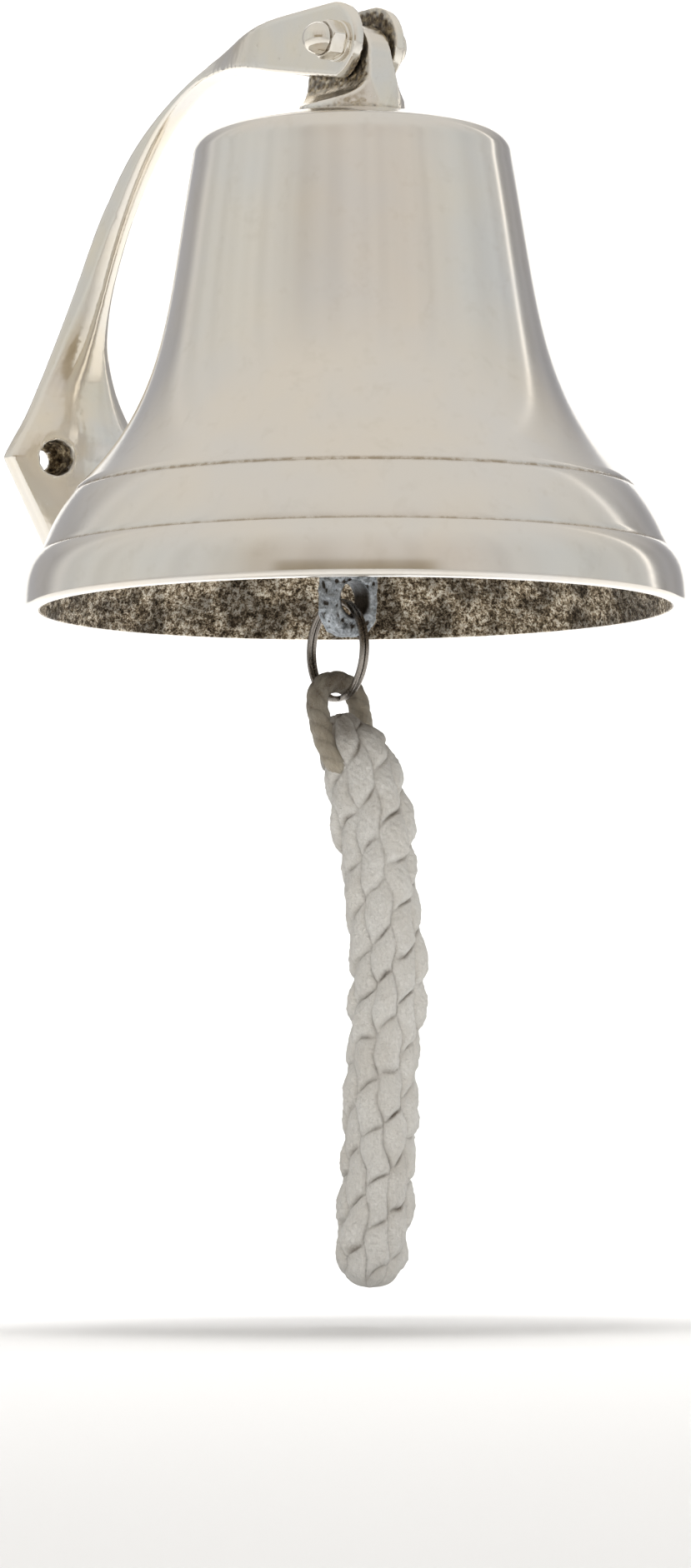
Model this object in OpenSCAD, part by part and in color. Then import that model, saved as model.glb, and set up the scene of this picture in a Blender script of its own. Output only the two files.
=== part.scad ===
// Wall-hung ship bell: cast bracket, swinging bell, clapper, split ring and rope lanyard.
// Origin: middle of the wall plate's back face. +Y goes into the wall, +Z is up,
// +X runs along the pivot bolt.

/* [Bell] */
// Outside diameter across the lip
mouth_d = 152; // [150:1:153]
// Height from the rim to the shoulder
bell_h = 110; // [109.5:0.5:111]
// How far the crown is domed above the shoulder
dome_h = 4; // [3.5:0.5:4.5]
// Wall thickness below the shoulder
wall = 4; // [3.5:0.25:4.5]
// Thickness of the crown
top_t = 5; // [4.5:0.25:5.5]
// Height of the rim plane above the screw holes
rim_z = -45.5; // [-46:0.5:-45]

/* [Bracket] */
// Distance from the wall to the bell's axis
reach = 113; // [113:0.5:114]
// How far the bolt sits in front of the bell's axis
bolt_forward = 4.5; // [4:0.5:5]
// Height of the pivot bolt above the screw holes
bolt_z = 85; // [84.5:0.5:85.5]
// Width of the wall plate from corner to corner
plate_w = 42; // [40:1:44]
// Distance from the screw holes down to the plate's lower tip
plate_drop = 37; // [35:1:39]
// Thickness of the plate at its corners
plate_t = 4.5; // [4:0.5:5]
// Spacing of the two screw holes
hole_gap = 20; // [19:0.5:21]
// Diameter of each screw hole
hole_d = 9; // [8:0.5:9]
// Width of the fork across both ears
fork_w = 15; // [15:0.5:16]
// Gap between the ears
slot_w = 9; // [8.5:0.5:9]

/* [Pivot] */
// Bolt diameter
bolt_d = 5; // [5:5]
// Height of the acorn nut
nut_h = 8.6; // [8.2:0.1:9]
// Width of the acorn nut across its flats
nut_af = 8; // [8:0.5:8.5]

/* [Clapper] */
// Diameter of the clapper's ball
ball_d = 24; // [22:1:24]
// Height of the ball's centre above the rim
ball_up = 21; // [20.5:0.5:22]
// Width of the flat tail below the ball
tail_w = 13.5; // [13:0.5:15]
// Thickness of the tail
tail_t = 5.5; // [5:0.5:6]
// How far the tail reaches below the rim
tail_drop = 6; // [5.5:0.5:6.5]
// Angle by which the clapper leans back from the bell's own axis
lean = 2; // [2:2]
// Outside diameter of the split ring
ring_d = 24; // [24:24]

/* [Lanyard] */
// Diameter of the braided rope
braid_d = 18; // [17:0.5:18]
// Diameter of the cord in the loop
cord_d = 5.2; // [5:0.1:5.2]

/* [Hidden] */
$fn = 64;

axis_y = -reach;
bolt_y = axis_y - bolt_forward;
top_z = rim_z + bell_h + dome_h;
crown_z = top_z - top_t;
bolt_r = bolt_d / 2;

nickel = [0.80, 0.79, 0.76];
steel = [0.62, 0.62, 0.63];
casting = [0.60, 0.64, 0.68];
cotton = [0.93, 0.91, 0.86];
old_cotton = [0.66, 0.60, 0.48];

// Washers and nuts
washer_t = 0.8;
washer_r = 4.8;
crown_washer_r = 7;
crown_nut_h = 4;

// Fork: the nose of each ear is round, a little behind and above the bolt
ear_r = 9.2;
ear_y = axis_y - 1.5;
ear_z = bolt_z + 0.6;
slot_back = 19.5;
neck_w = 5.8;

// Clapper suspension: the stud's eye, the link through it and the clapper's eye
eye_r = 5;
eye_wire = 1.6;
eye_z = 46;
link_r = 6;
link_wire = 1.4;
gap = 0.3;
link_top_z = eye_z - eye_r + eye_wire + link_wire + gap;
link_z = link_top_z - link_r;
link_low_z = link_z - link_r;
arch_r = 5.4;
arch_hole_r = 2.4;
arch_z = link_low_z + link_wire + 2 * gap - arch_hole_r;
arch_t = 4;
ball_z = rim_z + ball_up;
ball_r = ball_d / 2;
tail_z = rim_z - tail_drop + tail_w / 2;
tail_hole_r = 3.8;
tail_hole_z = rim_z + 2.5;

// Split ring: two turns side by side, hanging in the tail's hole
ring_t = 1.4;
ring_r = ring_d / 2;
ring_in = ring_r - ring_t;
ring_back = 4;
ring_turn = 5;
ring_front = tail_t / 2 + ring_back;
ring_z = tail_hole_z - tail_hole_r + 2 * gap - sqrt(ring_in * ring_in - ring_front * ring_front);

// Lanyard loop: an arch of cord over the ring's lowest wire
cord_r = cord_d / 2;
loop_route = [[-5, -1.5, -83.5], [-6.4, 0, -80.5], [-6.9, 2.2, -77], [-6.7, 4.4, -73], [-6.2, 6.2, -69.2],
              [-6, 7, -66.4], [-5, 7.5, -63.9], [-3, 7.7, -62.1], [0.3, 7.8, -61.5], [3.4, 7.7, -62.1],
              [5.2, 7.5, -63.9], [6, 7, -66.4], [6, 6.2, -69.2], [5.4, 4.6, -73], [4.2, 2.6, -77]];
// Centre line of the hanging braid, measured from the bell's axis
braid_route = [[-0.7, 5.2, -70], [-0.6, 3.4, -74.5], [0.6, 0.7, -80.5], [1.9, -1.1, -87.5],
               [2.9, -2.3, -95], [3.6, -2.9, -103], [4.2, -3.4, -112], [4.8, -3.8, -120.5], [5.3, -4.2, -129],
               [5.1, -4.0, -137], [4.4, -3.5, -146], [3.8, -3.0, -155], [3.6, -2.9, -164],
               [3.4, -2.7, -173], [2.6, -2.1, -182], [1.9, -1.5, -191], [1.6, -1.2, -200.5]];

// A cubic curve from a to d, pulled towards b and c
function curve(a, b, c, d, n = 14) =
    [for (i = [0 : n]) let (t = i / n, s = 1 - t)
        s * s * s * a + 3 * s * s * t * b + 3 * s * t * t * c + t * t * t * d];

// Points on an arc about centre c from angle a0 to angle a1
function arc(c, r, a0, a1, n = 10) =
    [for (i = [0 : n]) let (a = a0 + (a1 - a0) * i / n) c + r * [cos(a), sin(a)]];

// Bell profile, radius against height above the rim
lip_r = mouth_d / 2;
shoulder_r = 5.5;
shoulder_edge = 36.9;
inner_corner = 3;
seat_r = 13;
bell_outer = concat(
    [[lip_r - 0.8, 0]],
    curve([lip_r, 1], [lip_r, 5], [lip_r - 1.5, 9.5], [lip_r - 3.4, 13], 6),
    curve([lip_r - 4.0, 13.3], [lip_r - 5.8, 18.5], [lip_r - 8, 22.6], [lip_r - 10.8, 26.5], 6),
    curve([lip_r - 11.5, 27], [42.9, 47.9], [43.2, 68.5], [shoulder_edge, bell_h - shoulder_r], 20),
    arc([shoulder_edge - shoulder_r, bell_h - shoulder_r], shoulder_r, 8, 82, 7),
    curve([30, bell_h + 0.3], [25, bell_h + dome_h * 0.45], [19, bell_h + dome_h], [seat_r, bell_h + dome_h], 5));
bell_inner = concat(
    curve([lip_r - 3.6, 0], [lip_r - 4, 5], [lip_r - 5.5, 10], [lip_r - 11.5 - wall, 27 - 1], 10),
    curve([lip_r - 11.5 - wall, 26], [42.9 - wall, 46.9], [43.2 - wall, 67.5],
          [shoulder_edge - wall, bell_h - top_t - inner_corner], 18),
    arc([shoulder_edge - wall - inner_corner, bell_h - top_t - inner_corner], inner_corner, 8, 85, 5),
    curve([29, bell_h - top_t + 0.2], [24, bell_h - top_t + dome_h * 0.45],
          [19, bell_h + dome_h - top_t], [seat_r, bell_h + dome_h - top_t], 5));

// Side outline of the bracket, y against z: up the back, round the nose, back underneath
bracket_side = concat(
    [[0, -plate_drop]],
    curve([0, 15], [0, 33], [-12.6, 59], [-29.5, 73.2], 12),
    curve([-29.5, 73.2], [-45, 86], [-72, ear_z + ear_r], [-97, ear_z + ear_r], 12),
    arc([ear_y, ear_z], ear_r, 90, 255, 14),
    curve([-103, 80], [-90, 82.5], [-78, 86], [-68, 86.3], 6),
    curve([-60, 86], [-37, 84], [-10, 44], [-plate_t - 1, 6], 20),
    [[-plate_t, 0], [-plate_t, -plate_drop]]);

// Front outline of the plate and the arm, x against z, one side
plate_half = plate_w / 2;
arm_half = neck_w / 2;
plate_side = concat(
    [[0, -plate_drop], [plate_half - 0.8, -1.2], [plate_half, 0], [plate_half - 0.8, 1.4]],
    curve([17.5, 6], [10.5, 15.5], [4.6, 30], [arm_half + 0.6, 46], 12),
    [[arm_half, 60]]);

// Plan outline of the arm and the fork, x against y, one side
fork_side = concat(
    [[arm_half, 0], [arm_half, -55]],
    curve([arm_half, -58], [arm_half, -70], [fork_w / 2, -76], [fork_w / 2, -90], 10),
    [[fork_w / 2, -130]]);

// A closed outline from its right-hand side, mirrored to the left
module both_sides(side) {
    polygon(concat(side, [for (i = [len(side) - 1 : -1 : 0]) if (side[i].x > 0) [-side[i].x, side[i].y]]));
}

module along_x(r, x0, x1, y, z) {
    translate([x0, y, z]) rotate([0, 90, 0]) cylinder(r = r, h = x1 - x0);
}

module along_y(r, x, y0, y1, z) {
    translate([x, y1, z]) rotate([90, 0, 0]) cylinder(r = r, h = y1 - y0);
}

// A ring of round wire about the bell's axis, standing across X or across Y
module wire_ring(r, wire, z, turn) {
    translate([0, axis_y, z]) rotate([90, 0, turn]) rotate_extrude()
        translate([r, 0]) circle(r = wire, $fn = 24);
}

// An outline in y and z, given thickness t centred on x = 0
module side_slab(t) {
    translate([-t / 2, 0, 0]) rotate([90, 0, 90]) linear_extrude(t) children();
}

// An outline in x and z, reaching from y0 to y1
module front_slab(y0, y1) {
    translate([0, y1, 0]) rotate([90, 0, 0]) linear_extrude(y1 - y0) children();
}

// --- Bracket and pivot ---

module wall_bracket() {
    color(nickel) difference() {
        intersection() {
            side_slab(plate_w + 2) polygon(bracket_side);
            union() {
                front_slab(-90, 1) both_sides(plate_side);
                translate([0, 0, 56]) linear_extrude(50) both_sides(fork_side);
            }
        }
        translate([-slot_w / 2, -140, 60]) cube([slot_w, 140 + bolt_y + slot_back, 50]);
        along_x(bolt_r + 0.1, -fork_w, fork_w, bolt_y, bolt_z);
        for (side = [-1, 1]) along_y(hole_d / 2, side * hole_gap / 2, -20, 1, 0);
    }
}

module pivot_bolt() {
    head_r = 4.6;
    head_h = 3;
    shank = fork_w / 2 + washer_t + nut_h - 2.5;
    color(nickel) translate([0, bolt_y, bolt_z]) rotate([0, 90, 0]) union() {
        translate([0, 0, -shank]) cylinder(r = bolt_r, h = shank + fork_w / 2 + 1);
        translate([0, 0, fork_w / 2]) rotate_extrude()
            polygon(concat([[0, 0], [head_r, 0], [head_r, 0.8]],
                           curve([head_r, 0.8], [head_r, 2.2], [2.8, head_h], [0, head_h], 8)));
    }
}

module pivot_washer() {
    color(nickel) difference() {
        along_x(washer_r, -fork_w / 2 - washer_t, -fork_w / 2, bolt_y, bolt_z);
        along_x(bolt_r + 0.1, -fork_w, 0, bolt_y, bolt_z);
    }
}

module acorn_nut() {
    hex_h = 4;
    dome_r = 3.75;
    base_x = -fork_w / 2 - washer_t;
    color(nickel) difference() {
        translate([base_x, bolt_y, bolt_z]) rotate([0, -90, 0]) union() {
            cylinder(d = nut_af / cos(30), h = hex_h, $fn = 6);
            cylinder(r = dome_r, h = nut_h - dome_r);
            translate([0, 0, nut_h - dome_r]) sphere(r = dome_r);
        }
        along_x(bolt_r - 0.05, base_x - nut_h + 2.3, base_x + 1, bolt_y, bolt_z);
    }
}

// --- Bell ---

module bell_shell() {
    stud_hole = bolt_r + 0.1;
    color(nickel) translate([0, axis_y, rim_z]) rotate_extrude($fn = 96)
        polygon(concat(bell_outer, [[stud_hole, bell_h + dome_h], [stud_hole, bell_h + dome_h - top_t]],
                       [for (i = [len(bell_inner) - 1 : -1 : 0]) bell_inner[i]]));
}

module crown_lug() {
    foot_r = 12.3;
    foot_t = 2.2;
    post_r = 8.4;
    flare = concat([[foot_r, 0]],
                   curve([foot_r, foot_t], [8.4, 3.4], [5.2, 4.6], [4.2, 8], 8),
                   [[3.2, 16], [3.2, 30]]);
    // Side outline from the foot to the round head that carries the bolt
    head = [-2.4, bolt_z - top_z - 3.6];
    post = concat([[-foot_r, 0]],
                  curve([-foot_r, foot_t], [-12, 6], [-11.4, 10], head - [post_r, 0], 6),
                  arc(head, post_r, 170, 50, 8),
                  curve(head + post_r * [cos(45), sin(45)], [6.5, 20], [11.6, 16], [11.8, 9], 8),
                  [[foot_r, foot_t], [foot_r, 0]]);
    color(nickel) difference() {
        translate([0, axis_y, top_z]) intersection() {
            side_slab(2 * foot_r + 1) polygon(post);
            front_slab(-foot_r - 1, foot_r + 1)
                both_sides(flare);
            cylinder(r = foot_r, h = 40);
        }
        along_x(bolt_r + 0.08, -20, 20, bolt_y, bolt_z);
        translate([0, axis_y, top_z - 1]) cylinder(r = bolt_r - 0.05, h = 7.5);
    }
}

module clapper_stud() {
    color(steel) union() {
        wire_ring(eye_r, eye_wire, eye_z, 0);
        translate([0, axis_y, eye_z + eye_r]) cylinder(r = bolt_r, h = top_z + 6 - eye_z - eye_r);
    }
}

module crown_washer() {
    color(steel) translate([0, axis_y, crown_z - 1]) difference() {
        cylinder(r = crown_washer_r, h = 1);
        translate([0, 0, -1]) cylinder(r = bolt_r + 0.1, h = 3);
    }
}

module crown_nut() {
    color(steel) translate([0, axis_y, crown_z - 1 - crown_nut_h]) difference() {
        cylinder(d = nut_af / cos(30), h = crown_nut_h, $fn = 6);
        translate([0, 0, -1]) cylinder(r = bolt_r - 0.05, h = crown_nut_h + 2);
    }
}

// --- Clapper and ring ---

// What hangs from the stud's eye leans back about the eye's lowest wire
module hung() {
    translate([0, axis_y, eye_z - eye_r]) rotate([lean, 0, 0])
        translate([0, -axis_y, eye_r - eye_z]) children();
}

module clapper_link() {
    color(steel) hung() wire_ring(link_r, link_wire, link_z, 90);
}

module clapper() {
    // Round body: a rod that swells into the ball
    rod_r = 3.2;
    rod_top = arch_z - 4;
    body = concat([[0, rod_top], [rod_r, rod_top]],
                  curve([rod_r, ball_z + 34], [rod_r + 0.6, ball_z + 22], [ball_r * 0.75, ball_z + 15],
                        [ball_r * cos(35), ball_z + ball_r * sin(35)], 8),
                  arc([0, ball_z], ball_r, 30, -90, 14));
    color(casting) hung() translate([0, axis_y, 0]) difference() {
        union() {
            rotate_extrude() polygon(body);
            along_y(arch_r, 0, -arch_t / 2, arch_t / 2, arch_z);
            translate([-rod_r, -arch_t / 2, rod_top - 6]) cube([2 * rod_r, arch_t, 8]);
            along_y(tail_w / 2, 0, -tail_t / 2, tail_t / 2, tail_z);
            translate([-tail_w / 2, -tail_t / 2, tail_z]) cube([tail_w, tail_t, ball_z - tail_z]);
        }
        along_y(arch_hole_r, 0, -10, 10, arch_z);
        along_y(tail_hole_r, 0, -20, 20, tail_hole_z);
    }
}

module split_ring() {
    turn_w = 1.15;
    color(steel) hung() translate([0, axis_y, ring_z]) rotate([0, 0, -ring_turn])
        translate([0, ring_back, 0]) rotate([90, 0, 90]) rotate_extrude()
            translate([ring_in, -turn_w]) square([ring_t, 2 * turn_w]);
}

// --- Lanyard ---

function unit(v) = v / norm(v);
function along(p, i) = unit(p[min(i + 1, len(p) - 1)] - p[max(i - 1, 0)]);

// A closed tube of n sides swept along route, with its flats squared to the side vector
module tube(route, r, side, n) {
    rings = [for (i = [0 : len(route) - 1])
        let (d = along(route, i), u = unit(side - (side * d) * d), w = cross(d, u))
            for (k = [0 : n - 1])
                route[i] + r * (cos(360 * k / n) * u + sin(360 * k / n) * w)];
    walls = [for (i = [0 : len(route) - 2]) for (k = [0 : n - 1])
        [i * n + k, (i + 1) * n + k, (i + 1) * n + (k + 1) % n, i * n + (k + 1) % n]];
    caps = [[for (k = [0 : n - 1]) k],
            [for (k = [n - 1 : -1 : 0]) (len(route) - 1) * n + k]];
    polyhedron(rings, concat(walls, caps), convexity = 6);
}

module lanyard_loop() {
    color(old_cotton) translate([0, axis_y, 0]) tube(loop_route, cord_r, [0, 1, 0], 8);
}

module lanyard_braid() {
    color(cotton) translate([0, axis_y, 0]) tube(braid_route, braid_d / 2, [1, 0, 0], 12);
}

wall_bracket();
pivot_bolt();
pivot_washer();
acorn_nut();
bell_shell();
crown_lug();
clapper_stud();
crown_washer();
crown_nut();
clapper_link();
clapper();
split_ring();
lanyard_loop();
lanyard_braid();
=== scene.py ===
import bisect
import math
import bpy
import bmesh
from mathutils import Matrix, Vector, noise


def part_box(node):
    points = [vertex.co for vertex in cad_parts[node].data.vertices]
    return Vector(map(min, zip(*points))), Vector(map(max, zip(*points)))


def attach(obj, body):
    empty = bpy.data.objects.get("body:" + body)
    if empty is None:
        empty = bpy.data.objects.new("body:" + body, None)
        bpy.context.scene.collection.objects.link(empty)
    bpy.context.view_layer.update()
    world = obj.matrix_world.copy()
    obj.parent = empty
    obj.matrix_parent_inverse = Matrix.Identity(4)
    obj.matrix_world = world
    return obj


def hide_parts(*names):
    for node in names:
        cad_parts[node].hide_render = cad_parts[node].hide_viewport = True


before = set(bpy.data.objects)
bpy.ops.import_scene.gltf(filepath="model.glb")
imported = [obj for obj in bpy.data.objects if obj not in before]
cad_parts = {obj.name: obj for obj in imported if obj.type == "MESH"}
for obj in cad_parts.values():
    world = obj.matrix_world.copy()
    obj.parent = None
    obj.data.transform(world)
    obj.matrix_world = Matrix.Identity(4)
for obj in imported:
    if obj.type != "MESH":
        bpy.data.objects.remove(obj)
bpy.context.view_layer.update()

MM = 0.001
AXIS_Y = -0.113          # the bell's axis
RIM_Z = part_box("bell_shell")[0][2]
RAD = math.radians
AZIMUTH = RAD(-38.0)     # the camera's side of the object


# ---------------------------------------------------------------- camera

def place_camera():
    az, pitch, roll, turn = AZIMUTH, RAD(3.85), RAD(0.4), RAD(0.12)
    back = Vector((math.sin(az), -math.cos(az), 0))
    right = Vector((math.cos(az), math.sin(az), 0))
    up = Vector((0, 0, 1))
    eye = Vector((0, AXIS_Y, RIM_Z - 0.1246)) + 1.257 * back
    ahead = -back * math.cos(turn) - right * math.sin(turn)
    r1 = right * math.cos(turn) - back * math.sin(turn)
    look = ahead * math.cos(pitch) + up * math.sin(pitch)
    u2 = up * math.cos(pitch) - ahead * math.sin(pitch)
    r3 = r1 * math.cos(roll) - u2 * math.sin(roll)
    u3 = u2 * math.cos(roll) + r1 * math.sin(roll)
    data = bpy.data.cameras.new("camera")
    data.lens = 126.25
    data.sensor_width = 36
    data.clip_start = 0.01
    data.clip_end = 60
    cam = bpy.data.objects.new("camera", data)
    bpy.context.scene.collection.objects.link(cam)
    m = Matrix((r3, u3, -look)).transposed().to_4x4()
    m.translation = eye
    cam.matrix_world = m
    bpy.context.scene.camera = cam
    return cam


place_camera()


# ---------------------------------------------------------------- mesh helpers

def smoothstep(a, b, x):
    t = min(1.0, max(0.0, (x - a) / (b - a)))
    return t * t * (3 - 2 * t)


def fbm(p, octaves=3):
    return noise.fractal(p, 1.0, 2.0, octaves, noise_basis="PERLIN_ORIGINAL")


def make_object(name, verts, faces, smooth=True):
    me = bpy.data.meshes.new(name)
    me.from_pydata([tuple(v) for v in verts], [], faces)
    me.validate()
    me.update()
    if smooth:
        me.polygons.foreach_set("use_smooth", [True] * len(me.polygons))
    o = bpy.data.objects.new(name, me)
    bpy.context.scene.collection.objects.link(o)
    return o


def applied(o):
    dg = bpy.context.evaluated_depsgraph_get()
    me = bpy.data.meshes.new_from_object(o.evaluated_get(dg))
    o.modifiers.clear()
    old = o.data
    o.data = me
    bpy.data.meshes.remove(old)
    return o


def copy_of(node, name):
    src = bpy.data.objects[node] if node in bpy.data.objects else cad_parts[node]
    me = src.data.copy()
    me.materials.clear()
    me.transform(src.matrix_world)
    o = bpy.data.objects.new(name, me)
    bpy.context.scene.collection.objects.link(o)
    return o


def relax(o, rounds):
    """Laplacian smoothing that rounds every edge a little."""
    me = o.data
    bm = bmesh.new()
    bm.from_mesh(me)
    for _ in range(rounds):
        bmesh.ops.smooth_vert(bm, verts=bm.verts, factor=0.5, use_axis_x=True,
                              use_axis_y=True, use_axis_z=True)
    bm.to_mesh(me)
    bm.free()


def remesh(o, voxel, rounds):
    """Rebuilds the mesh from small cubes and rounds its edges."""
    m = o.modifiers.new("remesh", "REMESH")
    m.mode = "VOXEL"
    m.voxel_size = voxel
    m.adaptivity = 0
    applied(o)
    relax(o, rounds)
    o.data.polygons.foreach_set("use_smooth", [True] * len(o.data.polygons))
    return o


def sculpt(o, shape):
    """Moves every vertex to shape(point, normal)."""
    old = [(v.co.copy(), v.normal.copy()) for v in o.data.vertices]
    flat = [c for p, n in old for c in shape(p, n)]
    o.data.vertices.foreach_set("co", flat)
    o.data.update()


def face_out(o, triangles=False):
    """Turns every face outwards."""
    bm = bmesh.new()
    bm.from_mesh(o.data)
    bmesh.ops.recalc_face_normals(bm, faces=bm.faces)
    if triangles:
        bmesh.ops.triangulate(bm, faces=bm.faces)
    bm.to_mesh(o.data)
    bm.free()


def cut(o, tool):
    m = o.modifiers.new("cut", "BOOLEAN")
    m.operation = "DIFFERENCE"
    m.solver = "EXACT"
    m.object = tool
    applied(o)
    bpy.data.objects.remove(tool)
    return o


def cylinder(p0, p1, r, n=48):
    p0, p1 = Vector(p0), Vector(p1)
    q = (p1 - p0).to_track_quat("Z", "Y")
    h = (p1 - p0).length
    verts = [p0 + q @ Vector((r * math.cos(2 * math.pi * k / n), r * math.sin(2 * math.pi * k / n), z))
             for z in (0, h) for k in range(n)]
    faces = [(k, (k + 1) % n, n + (k + 1) % n, n + k) for k in range(n)]
    faces += [tuple(range(n - 1, -1, -1)), tuple(range(n, 2 * n))]
    return make_object("tool", verts, faces, False)


def block(x0, x1, y0, y1, z0, z1):
    v = [(x, y, z) for z in (z0, z1) for y in (y0, y1) for x in (x0, x1)]
    f = [(0, 2, 3, 1), (4, 5, 7, 6), (0, 1, 5, 4), (2, 6, 7, 3), (0, 4, 6, 2), (1, 3, 7, 5)]
    return make_object("tool", v, f, False)


def revolve(name, profile, steps, centre, shift=None):
    """A closed profile of (radius, height), turned about an upright axis through centre."""
    n = len(profile)
    verts = []
    for k in range(steps):
        a = 2 * math.pi * k / steps
        for i, (r, h) in enumerate(profile):
            dr, dh = shift(i, a, r, h) if shift else (0, 0)
            p = Vector(((r + dr) * math.cos(a), (r + dr) * math.sin(a), h + dh))
            verts.append(p + Vector(centre))
    faces = []
    for k in range(steps):
        k2 = (k + 1) % steps
        for i in range(n):
            j = (i + 1) % n
            faces.append((k * n + i, k2 * n + i, k2 * n + j, k * n + j))
    return make_object(name, verts, faces)


def bezier(a, b, c, d, n, first=True):
    out = []
    for i in range(0 if first else 1, n + 1):
        t = i / n
        s = 1 - t
        out.append(tuple(s ** 3 * a[k] + 3 * s * s * t * b[k] + 3 * s * t * t * c[k] + t ** 3 * d[k]
                         for k in range(len(a))))
    return out


def path_sampler(points, per=12):
    """A smooth line through points; returns dense points and their distances."""
    pts = [Vector(p) for p in points]
    ext = [2 * pts[0] - pts[1]] + pts + [2 * pts[-1] - pts[-2]]
    dense = []
    for i in range(1, len(ext) - 2):
        p0, p1, p2, p3 = ext[i - 1:i + 3]
        for k in range(per):
            t = k / per
            dense.append(0.5 * ((2 * p1) + (p2 - p0) * t + (2 * p0 - 5 * p1 + 4 * p2 - p3) * t * t
                                + (3 * p1 - p0 - 3 * p2 + p3) * t ** 3))
    dense.append(pts[-1])
    dist = [0.0]
    for a, b in zip(dense, dense[1:]):
        dist.append(dist[-1] + (b - a).length)
    return dense, dist


def at(dense, dist, s):
    s = min(max(s, 0.0), dist[-1])
    i = min(max(bisect.bisect_right(dist, s) - 1, 0), len(dist) - 2)
    t = (s - dist[i]) / max(dist[i + 1] - dist[i], 1e-12)
    return dense[i].lerp(dense[i + 1], t)


def frames_along(dense, dist, n, side):
    """n + 1 stations: point, direction, side vector, third vector."""
    out = []
    total = dist[-1]
    for i in range(n + 1):
        s = total * i / n
        p = at(dense, dist, s)
        d = (at(dense, dist, s + 0.0005) - at(dense, dist, s - 0.0005)).normalized()
        u = (Vector(side) - Vector(side).dot(d) * d).normalized()
        out.append((s, p, d, u, d.cross(u)))
    return out


def float_attr(o, name, values):
    a = o.data.attributes.new(name, "FLOAT", "POINT")
    a.data.foreach_set("value", values)


def cast_attr(o, fn):
    """How much of the rough, dark casting skin shows at each vertex; it also carries painted shade in
    the clapper's tail hole and on the lug's sides in the slot.
    """
    float_attr(o, "cast", [fn(v.co, v.normal) for v in o.data.vertices])


def shade_and_wear_attr(o, spread, gain):
    """Convexity of each vertex: 0.5 flat, over 0.5 on edges, under 0.5 in hollows; the materials paint
    shade into the hollows and lighten worn edges from it.
    """
    me = o.data
    n = len(me.vertices)
    near = [[] for _ in range(n)]
    for e in me.edges:
        a, b = e.vertices
        near[a].append(b)
        near[b].append(a)
    co = [v.co.copy() for v in me.vertices]
    nor = [v.normal.copy() for v in me.vertices]
    val = []
    for i in range(n):
        if not near[i]:
            val.append(0.0)
            continue
        m = Vector((0, 0, 0))
        for j in near[i]:
            m += co[j]
        m /= len(near[i])
        ln = (co[near[i][0]] - co[i]).length
        val.append((co[i] - m).dot(nor[i]) / max(ln, 1e-9))
    for _ in range(spread):
        val = [(val[i] + sum(val[j] for j in near[i])) / (1 + len(near[i])) for i in range(n)]
    float_attr(o, "edge", [min(1.0, max(0.0, 0.5 + gain * 4 * v)) for v in val])


# ---------------------------------------------------------------- lanyard: loop and braid

LOOP = [(-5, -1.5, -83.5), (-6.4, 0, -80.5), (-6.9, 2.2, -77), (-6.7, 4.4, -73), (-6.2, 6.2, -69.2),
        (-6, 7, -66.4), (-5, 7.5, -63.9), (-3, 7.7, -62.1), (0.3, 7.8, -61.5), (3.4, 7.7, -62.1),
        (5.2, 7.5, -63.9), (6, 7, -66.4), (6, 6.2, -69.2), (5.4, 4.6, -73), (4.2, 2.6, -77)]
BRAID = [(-0.7, 5.2, -70), (-0.6, 3.4, -74.5), (0.6, 0.7, -80.5), (1.9, -1.1, -87.5),
         (2.9, -2.3, -95), (3.6, -2.9, -103), (4.2, -3.4, -112), (4.8, -3.8, -120.5),
         (5.3, -4.2, -129), (5.1, -4.0, -137), (4.4, -3.5, -146), (3.8, -3.0, -155),
         (3.6, -2.9, -164), (3.4, -2.7, -173), (2.6, -2.1, -182), (1.9, -1.5, -191),
         (1.6, -1.2, -200.5)]


def on_axis(points):
    return [Vector((x * MM, y * MM + AXIS_Y, z * MM)) for x, y, z in points]


def cord_mesh(name, points, radius, around, step, relief, side):
    """A tube along points whose radius follows relief(angle, distance, total) in metres; relief also
    gives the soil and painted crease shade at each point.
    """
    dense, dist = path_sampler(on_axis(points))
    n = max(8, int(dist[-1] / step))
    st = frames_along(dense, dist, n, side)
    verts, uv, soil_and_shade = [], [], []
    for s, p, _, u, w in st:
        for k in range(around):
            a = 2 * math.pi * k / around
            r, soil_and_crease_shade = relief(a, s, dist[-1])
            verts.append(p + r * (math.cos(a) * u + math.sin(a) * w))
            uv.append((radius * a, s))
            soil_and_shade.append(soil_and_crease_shade)
    faces = [(i * around + k, (i + 1) * around + k, (i + 1) * around + (k + 1) % around,
              i * around + (k + 1) % around) for i in range(n) for k in range(around)]
    for i, sign in ((0, -1), (n, 1)):
        c = len(verts)
        ring = [verts[i * around + k] for k in range(around)]
        verts.append(sum(ring, Vector((0, 0, 0))) / around)
        uv.append((0, st[i][0]))
        soil_and_shade.append(0.2)
        for k in range(around):
            tri = (i * around + k, i * around + (k + 1) % around, c)
            faces.append(tri if sign < 0 else tri[::-1])
    o = make_object(name, verts, faces)
    float_attr(o, "around", [q[0] for q in uv])
    float_attr(o, "along", [q[1] for q in uv])
    # soil and painted shade in the creases, for the cotton's colour
    float_attr(o, "soil_and_crease_shade", soil_and_shade)
    return o, [p for _, p, _, _, _ in st]


BRAID_R = 8.3 * MM
PITCH = 10.3 * MM
COLUMNS = 8


def jitter(kk, row, seed):
    return noise.cell(Vector((kk * 3.7 + 0.5, row * 1.9 + 0.5, seed)))


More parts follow.
